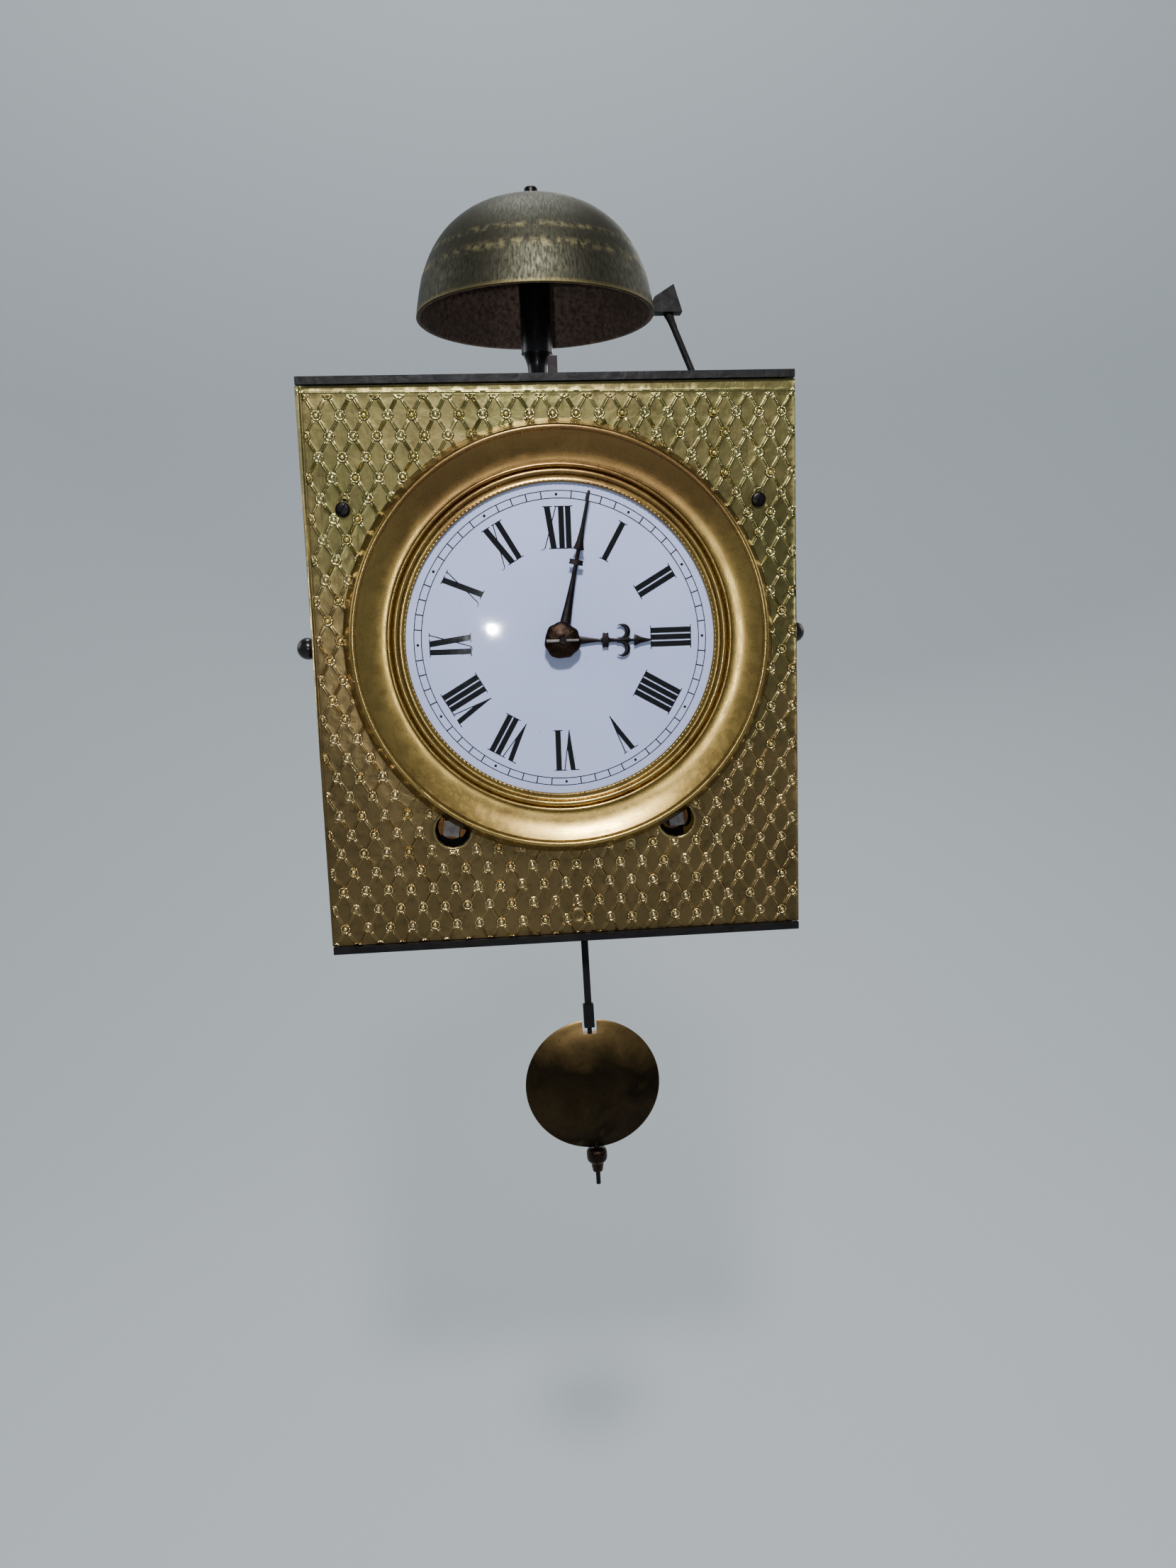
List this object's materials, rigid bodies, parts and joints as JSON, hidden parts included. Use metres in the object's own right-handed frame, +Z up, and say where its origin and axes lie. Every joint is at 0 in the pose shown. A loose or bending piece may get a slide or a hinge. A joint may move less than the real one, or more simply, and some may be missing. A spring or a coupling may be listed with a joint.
{
  "type": "comtoise clock",
  "caption": "Wall clock movement in an iron cage with an embossed brass front, round enamel dial, bell with hammer above and a swinging pendulum with a lens bob below.",
  "frame": {"origin": "centre of the flat rear face of the hanging stirrup, which lies on the wall", "axes": "+Y into the wall (away from the viewer), +Z up, +X to the right of the dial"},
  "size_m": [0.2214, 0.1182, 0.4339],
  "materials": {
    "hammered_iron": "hammered, dark",
    "forged_iron": "forged, dull",
    "sheet_iron": "worn black paint",
    "embossed_brass": "old, partly bright",
    "bezel_brass": "polished, tarnished in places",
    "white_enamel": "glossy vitreous enamel with black numerals",
    "dark_steel": "blued, dark",
    "bright_steel": "polished",
    "aged_bronze": "dark patina",
    "bell_bronze": "turned, dark olive patina",
    "black_lacquer": "glossy black",
    "bob_brass": "old lacquered sheet brass",
    "wheel_brass": "cut and polished"
  },
  "bodies": {
    "case": {"top_plate": "hammered_iron", "bottom_plate": "hammered_iron", "pillar_front_left": "forged_iron", "pillar_front_right": "forged_iron", "pillar_rear_left": "forged_iron", "pillar_rear_right": "forged_iron", "front_bar_left": "forged_iron", "front_bar_right": "forged_iron", "front_bar_centre": "forged_iron", "rear_bar_left": "forged_iron", "rear_bar_right": "forged_iron", "back_plate": "sheet_iron", "hanging_stirrup": "forged_iron", "wall_spur_left": "forged_iron", "wall_spur_right": "forged_iron", "front_sheet": "embossed_brass", "dial_screw_left": "dark_steel", "dial_screw_right": "dark_steel", "enamel_dial": "white_enamel", "bezel_ring": "bezel_brass", "bell": "bell_bronze", "bell_stand": "black_lacquer", "bell_nut": "dark_steel", "suspension_post": "dark_steel", "suspension_spring": "bright_steel"},
    "door_left": {"door_left": "sheet_iron", "door_knob_left": "dark_steel"},
    "door_right": {"door_right": "sheet_iron", "door_knob_right": "dark_steel"},
    "pendulum": {"pendulum_rod": "forged_iron", "pendulum_lower_rod": "forged_iron"},
    "bob": {"pendulum_bob": "bob_brass"},
    "rating_nut": {"rating_nut": "aged_bronze"},
    "anchor": {"anchor": "bright_steel", "crutch": "bright_steel"},
    "minute": {"minute_arbor": "wheel_brass", "minute_hand": "dark_steel", "hand_boss": "aged_bronze", "taper_pin": "bright_steel"},
    "hour": {"hour_wheel": "wheel_brass", "hour_hand": "dark_steel"},
    "reverse": {"reverse_wheel": "wheel_brass"},
    "transfer": {"transfer_wheel": "wheel_brass"},
    "third": {"third_wheel": "wheel_brass"},
    "escape": {"escape_wheel": "wheel_brass"},
    "centre": {"centre_wheel": "wheel_brass"},
    "going_great": {"going_great_wheel": "wheel_brass"},
    "going_click": {"going_click": "bright_steel"},
    "going_barrel": {"going_barrel": "wheel_brass", "going_winding_arbor": "bright_steel"},
    "locking": {"locking_wheel": "wheel_brass"},
    "fly": {"fly": "wheel_brass"},
    "pin_wheel": {"pin_wheel": "wheel_brass"},
    "strike_great": {"strike_great_wheel": "wheel_brass"},
    "strike_click": {"strike_click": "bright_steel"},
    "strike_barrel": {"strike_barrel": "wheel_brass", "strike_winding_arbor": "bright_steel"},
    "hammer": {"hammer_head": "forged_iron", "hammer_arm": "forged_iron"},
    "rack": {"strike_rack": "bright_steel"}
  },
  "joints": [
    {"name": "pendulum_swing", "type": "hinge", "parent": "case", "child": "pendulum", "pos_m": [0.0025, -0.0915, -0.00614], "axis": [0, 1, 0], "range_deg": [-2, 4.6]},
    {"name": "anchor_rock", "type": "hinge", "parent": "case", "child": "anchor", "pos_m": [-0.0479, -0.04, -0.00614], "axis": [0, 1, 0], "range_deg": [-2, 4.6]},
    {"name": "bob_regulate", "type": "slide", "parent": "pendulum", "child": "bob", "axis": [-0.0227, 0, 0.9997], "range_m": [-0.0015, 0.0015]},
    {"name": "rating_nut_turn", "type": "hinge", "parent": "bob", "child": "rating_nut", "pos_m": [0.0025, -0.0915, -0.00614], "axis": [-0.0227, 0, 0.9997], "range_deg": [-1080, 1080]},
    {"name": "minute_hand_turn", "type": "hinge", "parent": "case", "child": "minute", "pos_m": [0.001, -0.1, -0.082], "axis": [0, 1, 0], "continuous": true},
    {"name": "hour_hand_turn", "type": "hinge", "parent": "case", "child": "hour", "pos_m": [0.001, -0.1, -0.082], "axis": [0, 1, 0], "continuous": true},
    {"name": "reverse_wheel_turn", "type": "hinge", "parent": "case", "child": "reverse", "pos_m": [0.001, -0.08, -0.116], "axis": [0, 1, 0], "continuous": true},
    {"name": "transfer_wheel_turn", "type": "hinge", "parent": "case", "child": "transfer", "pos_m": [-0.0479, -0.08, -0.11125], "axis": [0, 1, 0], "continuous": true},
    {"name": "third_wheel_spin", "type": "hinge", "parent": "case", "child": "third", "pos_m": [-0.0479, -0.05, -0.06805], "axis": [0, 1, 0], "continuous": true},
    {"name": "escape_wheel_spin", "type": "hinge", "parent": "case", "child": "escape", "pos_m": [-0.0479, -0.05, -0.03725], "axis": [0, 1, 0], "continuous": true},
    {"name": "centre_wheel_spin", "type": "hinge", "parent": "case", "child": "centre", "pos_m": [-0.0479, -0.05, -0.11125], "axis": [0, 1, 0], "continuous": true},
    {"name": "going_great_wheel_spin", "type": "hinge", "parent": "case", "child": "going_great", "pos_m": [-0.0479, -0.05, -0.15925], "axis": [0, 1, 0], "continuous": true},
    {"name": "going_click_lift", "type": "hinge", "parent": "going_great", "child": "going_click", "pos_m": [-0.0319, -0.065, -0.14275], "axis": [0, 1, 0], "range_deg": [0, 12], "stiffness_Nm_per_rad": 0.002, "springref_deg": -17.19},
    {"name": "going_winding", "type": "hinge", "parent": "going_great", "child": "going_barrel", "pos_m": [-0.0479, -0.05, -0.15925], "axis": [0, 1, 0], "continuous": true},
    {"name": "locking_wheel_spin", "type": "hinge", "parent": "case", "child": "locking", "pos_m": [0.0479, -0.05, -0.06805], "axis": [0, 1, 0], "continuous": true},
    {"name": "fly_spin", "type": "hinge", "parent": "case", "child": "fly", "pos_m": [0.0479, -0.05, -0.03725], "axis": [0, 1, 0], "continuous": true},
    {"name": "pin_wheel_spin", "type": "hinge", "parent": "case", "child": "pin_wheel", "pos_m": [0.0479, -0.05, -0.11125], "axis": [0, 1, 0], "continuous": true},
    {"name": "strike_great_wheel_spin", "type": "hinge", "parent": "case", "child": "strike_great", "pos_m": [0.0479, -0.05, -0.15925], "axis": [0, 1, 0], "continuous": true},
    {"name": "strike_click_lift", "type": "hinge", "parent": "strike_great", "child": "strike_click", "pos_m": [0.0639, -0.065, -0.14275], "axis": [0, 1, 0], "range_deg": [0, 12], "stiffness_Nm_per_rad": 0.002, "springref_deg": -17.19},
    {"name": "strike_winding", "type": "hinge", "parent": "strike_great", "child": "strike_barrel", "pos_m": [0.0479, -0.05, -0.15925], "axis": [0, 1, 0], "continuous": true},
    {"name": "hammer_swing", "type": "hinge", "parent": "case", "child": "hammer", "pos_m": [0.0479, -0.066, -0.005], "axis": [0, 1, 0], "range_deg": [0, 12], "stiffness_Nm_per_rad": 0.02, "springref_deg": -20.05},
    {"name": "rack_drop", "type": "slide", "parent": "case", "child": "rack", "axis": [0, 0, 1], "range_m": [-0.0034, 0]},
    {"name": "door_left_hinge", "type": "hinge", "parent": "case", "child": "door_left", "pos_m": [-0.097, -0.0185, -0.093], "axis": [0, 0, 1], "range_deg": [-90, 0]},
    {"name": "door_right_hinge", "type": "hinge", "parent": "case", "child": "door_right", "pos_m": [0.097, -0.0185, -0.093], "axis": [0, 0, 1], "range_deg": [0, 90]}
  ],
  "couplings": [
    {"joint": "anchor_rock", "follows": "pendulum_swing", "ratio": 1},
    {"joint": "rating_nut_turn", "follows": "bob_regulate", "rad_per_m": 12566},
    {"joint": "transfer_wheel_turn", "follows": "minute_hand_turn", "ratio": -1},
    {"joint": "reverse_wheel_turn", "follows": "minute_hand_turn", "ratio": -0.33333},
    {"joint": "hour_hand_turn", "follows": "minute_hand_turn", "ratio": 0.083333},
    {"joint": "escape_wheel_spin", "follows": "third_wheel_spin", "ratio": -4.5},
    {"joint": "centre_wheel_spin", "follows": "third_wheel_spin", "ratio": -0.2},
    {"joint": "going_great_wheel_spin", "follows": "third_wheel_spin", "ratio": 0.04},
    {"joint": "fly_spin", "follows": "locking_wheel_spin", "ratio": -4.5},
    {"joint": "pin_wheel_spin", "follows": "locking_wheel_spin", "ratio": -0.2},
    {"joint": "strike_great_wheel_spin", "follows": "locking_wheel_spin", "ratio": 0.04}
  ]
}
